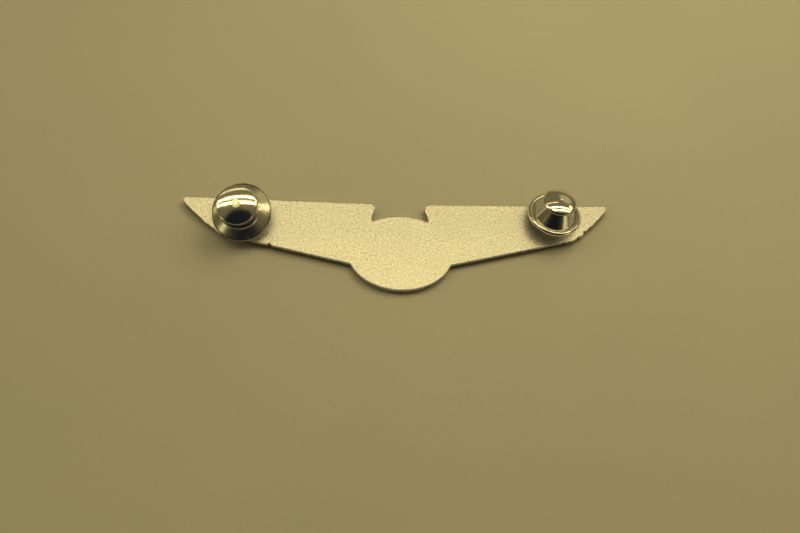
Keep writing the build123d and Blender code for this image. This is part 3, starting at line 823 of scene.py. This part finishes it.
def badge_finish():
    """Fine blasted satin on the back, worn bright on the high parts and dark in the hollows."""
    finish = Finish("badge_satin", (0.8, 0.8, 0.8), 0.4)
    place = finish.place()
    grain = finish.noise(place, 4600, 2.0, 0.6)
    coarse = finish.noise(place, 2400, 2.0, 0.5)
    pits = finish.spread(finish.noise(place, 1900, 1.0), 0.70, 0.76, 0, 0.8)
    cloud = finish.noise(place, 90, 3.0)
    mottle = finish.math("ADD", finish.math("MULTIPLY", grain, 0.6), finish.math("MULTIPLY", coarse, 0.4))
    bright = finish.mix(finish.spread(mottle, 0.38, 0.62, 0, 1), (0.46, 0.455, 0.465), (0.98, 0.972, 1.0))
    bright = finish.mix(finish.spread(cloud, 0.35, 0.7, 0, 0.18), bright, (0.76, 0.75, 0.75))
    bright = finish.mix(pits, bright, (0.12, 0.11, 0.09))
    # Darker in the relief's hollows (antique darkening) and on the edge wall, where it is painted shade that
    # partly stands for a dull cast edge.
    hollow_and_painted_shade = finish.math("MULTIPLY", finish.attribute("hollow_and_painted_shade"), 0.85)
    finish.set("Base Color", finish.mix(hollow_and_painted_shade, bright, (0.10, 0.095, 0.085)))
    rough = finish.spread(mottle, 0.3, 0.7, 0.36, 0.5)
    finish.set("Roughness", finish.math("ADD", rough, finish.math("MULTIPLY", hollow_and_painted_shade, 0.2), clamp=True))
    under = finish.bump(coarse, 0.5, 0.00003)
    finish.bump(grain, 0.6, 0.00002, under)
    return finish.material


def spun_finish():
    """Circular turning marks, brushed unevenly, with handling marks."""
    finish = Finish("spun_steel", (0.8, 0.79, 0.77), 0.2)
    rings = finish.noise(finish.polar(1.2, 14000), 1.0, 2.0, 0.6)
    bands = finish.noise(finish.polar(5.0, 2500), 1.0, 2.0)
    marks = finish.noise(finish.place(), 700, 3.0)
    metal = finish.mix(finish.spread(rings, 0.35, 0.65, 0, 1), (0.62, 0.61, 0.59), (0.84, 0.83, 0.81))
    # Painted shade darkens the zones given for each turned part.
    finish.set("Base Color", finish.mix(finish.attribute("hollow_and_painted_shade"), metal, PAINTED_SHADE_COLOUR))
    rough = finish.spread(rings, 0.3, 0.7, 0.14, 0.25)
    finish.set("Roughness", finish.math("ADD", rough, finish.spread(marks, 0.5, 0.75, 0, 0.1)))
    finish.set("Anisotropic", 0.6)
    tangent = finish.nodes.new("ShaderNodeTangent")
    tangent.direction_type, tangent.uv_map = "UV_MAP", "around"
    finish.links.new(tangent.outputs[0], finish.bsdf.inputs["Tangent"])
    under = finish.bump(bands, 0.06, 0.00004)
    finish.bump(rings, 0.22, 0.000015, under)
    return finish.material


def polished_finish(name, colour, low, high, waviness, streaks):
    """Plated bright metal: slight waviness of the pressing, hairline marks and a few duller spots."""
    finish = Finish(name, colour, low)
    hair = finish.noise(finish.polar(streaks, 9000), 1.0, 2.0, 0.6)
    wave = finish.noise(finish.place(), 420, 2.0)
    dull = finish.noise(finish.place(), 1500, 4.0, 0.65)
    worn = tuple(0.82 * c for c in colour)
    metal = finish.mix(finish.spread(dull, 0.55, 0.72, 0, 0.8), colour, worn)
    # Painted shade: the zones given for each turned part are darkened and dulled.
    painted_shade = finish.attribute("hollow_and_painted_shade")
    finish.set("Base Color", finish.mix(painted_shade, metal, PAINTED_SHADE_COLOUR))
    hairline = finish.spread(hair, 0.35, 0.7, low, high)
    rough = finish.math("ADD", hairline, finish.spread(dull, 0.58, 0.75, 0, 0.12))
    finish.set("Roughness", finish.math("ADD", rough, finish.math("MULTIPLY", painted_shade, 0.4), clamp=True))
    under = finish.bump(wave, waviness, 0.0001)
    finish.bump(hair, 0.12, 0.00001, under)
    return finish.material


def grained_finish(name, colour, darker, scale, low, high, strength=0.3):
    """Plain metal with blotches of tarnish and a fine grain."""
    finish = Finish(name, colour, low)
    grain = finish.noise(finish.place(), scale, 4.0, 0.6)
    blotch = finish.noise(finish.place(), scale / 6, 3.0)
    finish.set("Base Color", finish.mix(finish.spread(blotch, 0.4, 0.7, 0, 1), colour, darker))
    finish.set("Roughness", finish.spread(grain, 0.3, 0.7, low, high))
    finish.bump(grain, strength, 0.00003)
    return finish.material


def paper_finish():
    """Plain pale floor, very slightly uneven in tone."""
    finish = Finish("floor_paper", (0.4, 0.4, 0.4), 0.85, metallic=0.0)
    cloud = finish.noise(finish.place(), 22, 3.0)
    fibre = finish.noise(finish.place(), 1400, 2.0, 0.7)
    tone = finish.mix(finish.spread(cloud, 0.35, 0.65, 0, 1), (0.465, 0.447, 0.435), (0.485, 0.467, 0.445))
    finish.set("Base Color", finish.mix(finish.spread(fibre, 0.3, 0.7, 0, 0.4), tone, (0.44, 0.42, 0.405)))
    finish.set("Specular IOR Level", 0.2)
    finish.bump(fibre, 0.12, 0.00004)
    return finish.material


# ---------------------------------------------------------------- object

silver = (0.80, 0.79, 0.77)
finishes = {
    "spun": spun_finish(),
    "dome": polished_finish("dome_polish", silver, 0.07, 0.14, 0.10, 30),
    "rivet": polished_finish("rivet_satin", silver, 0.26, 0.34, 0.10, 30),
    "drawn": polished_finish("drawn_polish", silver, 0.06, 0.11, 0.10, 6),
    "mushroom": polished_finish("mushroom_polish", silver, 0.06, 0.12, 0.08, 6),
    "disc": grained_finish("disc_plating", (0.74, 0.73, 0.70), (0.52, 0.50, 0.46), 1600, 0.22, 0.36),
    "post": grained_finish("post_plating", (0.74, 0.73, 0.70), (0.50, 0.48, 0.44), 2200, 0.2, 0.36),
    "solder": grained_finish("solder_grey", (0.50, 0.50, 0.49), (0.30, 0.29, 0.28), 2400, 0.36, 0.6, 0.6),
}
brass = grained_finish("inner_brass", (0.80, 0.60, 0.28), (0.55, 0.38, 0.16), 1500, 0.22, 0.38)
spring_steel = grained_finish("spring_wire", (0.56, 0.55, 0.54), (0.38, 0.37, 0.36), 3000, 0.2, 0.34)
ball_steel = grained_finish("ball_steel", (0.70, 0.70, 0.70), (0.60, 0.60, 0.60), 4000, 0.06, 0.14, 0.05)

make_plate(badge_finish())
make_left_clutch(finishes)
make_right_clutch(finishes)
for side in ("left", "right"):
    make_post(side, finishes)
    make_spring(side, spring_steel)
    frame["nodes"][f"{side}_race"].material_slots[0].material = brass
    frame["nodes"][f"{side}_ball_cage"].material_slots[0].material = finishes["rivet"]
    for number in (1, 2, 3):
        frame["nodes"][f"{side}_ball_{number}"].material_slots[0].material = ball_steel


# ---------------------------------------------------------------- floor, light and camera

FLOOR_HALF = 0.8
STRIP_DISTANCE = 0.6
LIGHT_COLOUR = (1.0, 0.83, 0.37)
# Soft glows of the room: direction, angles where the glow is full and where it ends, and radiance
GLOWS = [
    ((0.30, 0.90, 0.25), 20, 60, 0.17),
    ((0.50, 0.72, 0.42), 6, 20, 0.5),
    ((0.742, 0.375, 0.556), 3, 6.5, 3.2),
    ((-0.94, 0.30, 0.12), 3, 7, 1.2),
    ((-0.88, -0.44, 0.20), 3, 8, 1.4),
    ((0.80, -0.58, 0.15), 4, 16, 1.0),
]


def make_floor():
    """Plain flat floor that the badge lies on."""
    signs = [(-1, -1), (1, -1), (1, 1), (-1, 1)]
    corners = [(x * FLOOR_HALF, y * FLOOR_HALF, -EMBLEM_DEPTH * MM) for x, y in signs]
    mesh = bpy.data.meshes.new("floor")
    mesh.from_pydata(corners, [], [(0, 1, 2, 3)])
    floor = bpy.data.objects.new("floor", mesh)
    bpy.context.scene.collection.objects.link(floor)
    mesh.materials.append(paper_finish())


def strip_light(name, tilt, width, reach, radiance):
    """Long tube light along X, a distance from the badge, tilted from straight above towards +Y, degrees."""
    low, high = reach
    data = bpy.data.lights.new(name, "AREA")
    data.shape = "RECTANGLE"
    data.size = high - low
    data.size_y = 2 * STRIP_DISTANCE * tan(radians(width / 2))
    data.energy = radiance * pi * data.size * data.size_y
    data.color = LIGHT_COLOUR
    lamp = bpy.data.objects.new(name, data)
    raised = Matrix.Translation(((low + high) / 2, 0, STRIP_DISTANCE))
    lamp.matrix_world = Matrix.Rotation(-radians(tilt), 4, "X") @ raised
    bpy.context.scene.collection.objects.link(lamp)


def soft_light():
    """Soft light near the far right of the badge, which the floor shows and the polished metal doesn't."""
    data = bpy.data.lights.new("soft_light", "AREA")
    data.shape = "SQUARE"
    data.size = 0.08
    data.energy = 0.085
    data.color = LIGHT_COLOUR
    lamp = bpy.data.objects.new("soft_light", data)
    lamp.location = (0.05, 0.09, 0.14)
    lamp.visible_glossy = False
    lamp.visible_camera = False
    bpy.context.scene.collection.objects.link(lamp)


def make_world():
    """Dim warm room, dark towards the near side, with soft glows round it."""
    world = bpy.data.worlds.new("room")
    bpy.context.scene.world = world
    world.use_nodes = True
    nodes, links = world.node_tree.nodes, world.node_tree.links
    direction = nodes.new("ShaderNodeTexCoord").outputs["Generated"]

    def near(towards, inner, outer):
        """1 within an angle of a direction, falling to 0 at a wider one, degrees."""
        dot = nodes.new("ShaderNodeVectorMath")
        dot.operation = "DOT_PRODUCT"
        links.new(direction, dot.inputs[0])
        dot.inputs[1].default_value = Vector(towards).normalized()
        soft = nodes.new("ShaderNodeMapRange")
        soft.interpolation_type = "SMOOTHSTEP"
        links.new(dot.outputs["Value"], soft.inputs["Value"])
        soft.inputs["From Min"].default_value = cos(radians(outer))
        soft.inputs["From Max"].default_value = cos(radians(inner))
        return soft.outputs["Result"]

    def blend(share, first, second):
        node = nodes.new("ShaderNodeMix")
        node.data_type = "RGBA"
        links.new(share, node.inputs["Factor"])
        for socket, colour in zip(node.inputs[6:8], (first, second)):
            if isinstance(colour, tuple):
                socket.default_value = (*colour, 1)
            else:
                links.new(colour, socket)
        return node.outputs[2]

    colour = blend(near((0, 0.5, 1), 20, 80), (0.13, 0.108, 0.045), (0.17, 0.142, 0.06))
    colour = blend(near((-0.1, -1, 0.1), 25, 75), colour, (0.04, 0.034, 0.017))
    colour = blend(near((-0.1, -0.65, 0.76), 30, 40), colour, (0.010, 0.012, 0.013))
    for towards, inner, outer, strength in GLOWS:
        colour = blend(near(towards, inner, outer), colour, tuple(strength * c for c in LIGHT_COLOUR))
    links.new(colour, nodes["Background"].inputs["Color"])


def make_camera():
    """Camera above and in front of the badge, turned a little about its line of sight."""
    right, up = Vector((0.9958, -0.0182, 0.0894)), Vector((-0.0167, 0.927, 0.3746))
    back = right.cross(up).normalized()
    data = bpy.data.cameras.new("camera")
    data.lens, data.sensor_width = 36.0, 36.0
    data.clip_start, data.clip_end = 0.01, 10
    camera = bpy.data.objects.new("camera", data)
    placed = Matrix((right, back.cross(right), back)).transposed().to_4x4()
    placed.translation = Vector((-12.62, -54.62, 128.04)) * MM
    camera.matrix_world = placed
    bpy.context.scene.collection.objects.link(camera)
    bpy.context.scene.camera = camera


make_floor()
strip_light("strip_above", 9.3, 4.4, (-1.5, 0.65), 5.5)
strip_light("strip_far", 20.5, 3.4, (-1.5, 0.75), 7.0)
strip_light("strip_low", 37.5, 2.6, (-1.0, 0.12), 1.6)
soft_light()
make_world()
make_camera()
bpy.context.scene.view_settings.view_transform = "Standard"
